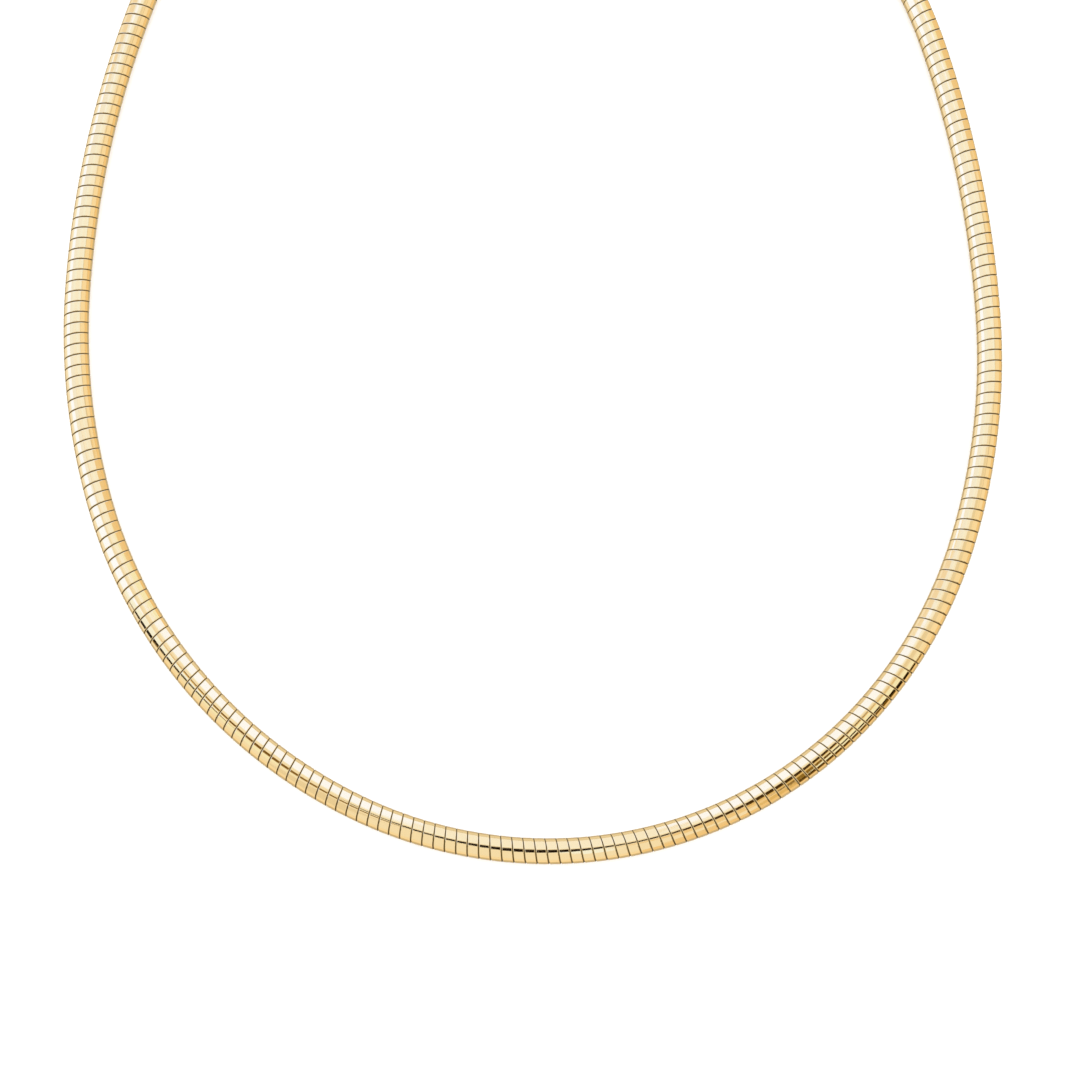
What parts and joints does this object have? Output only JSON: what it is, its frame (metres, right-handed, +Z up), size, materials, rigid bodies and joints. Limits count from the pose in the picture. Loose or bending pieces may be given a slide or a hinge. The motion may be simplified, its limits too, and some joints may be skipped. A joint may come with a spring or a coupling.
{
  "type": "omega necklace",
  "caption": "Round omega collar necklace: a gold strip wound in close turns round a stiff core, laid flat and closed at the back by a plain bar clasp.",
  "frame": {"origin": "on the surface that the collar lies on, in the middle of the box round the collar", "axes": "+X across the collar, +Y from the front of the collar to the clasp, +Z up from the surface"},
  "size_m": [0.125, 0.153, 0.0034],
  "materials": {
    "gold": "polished yellow gold"
  },
  "bodies": {
    "root": {"chain_right": "gold", "chain_left": "gold", "clasp": "gold"}
  },
  "joints": []
}
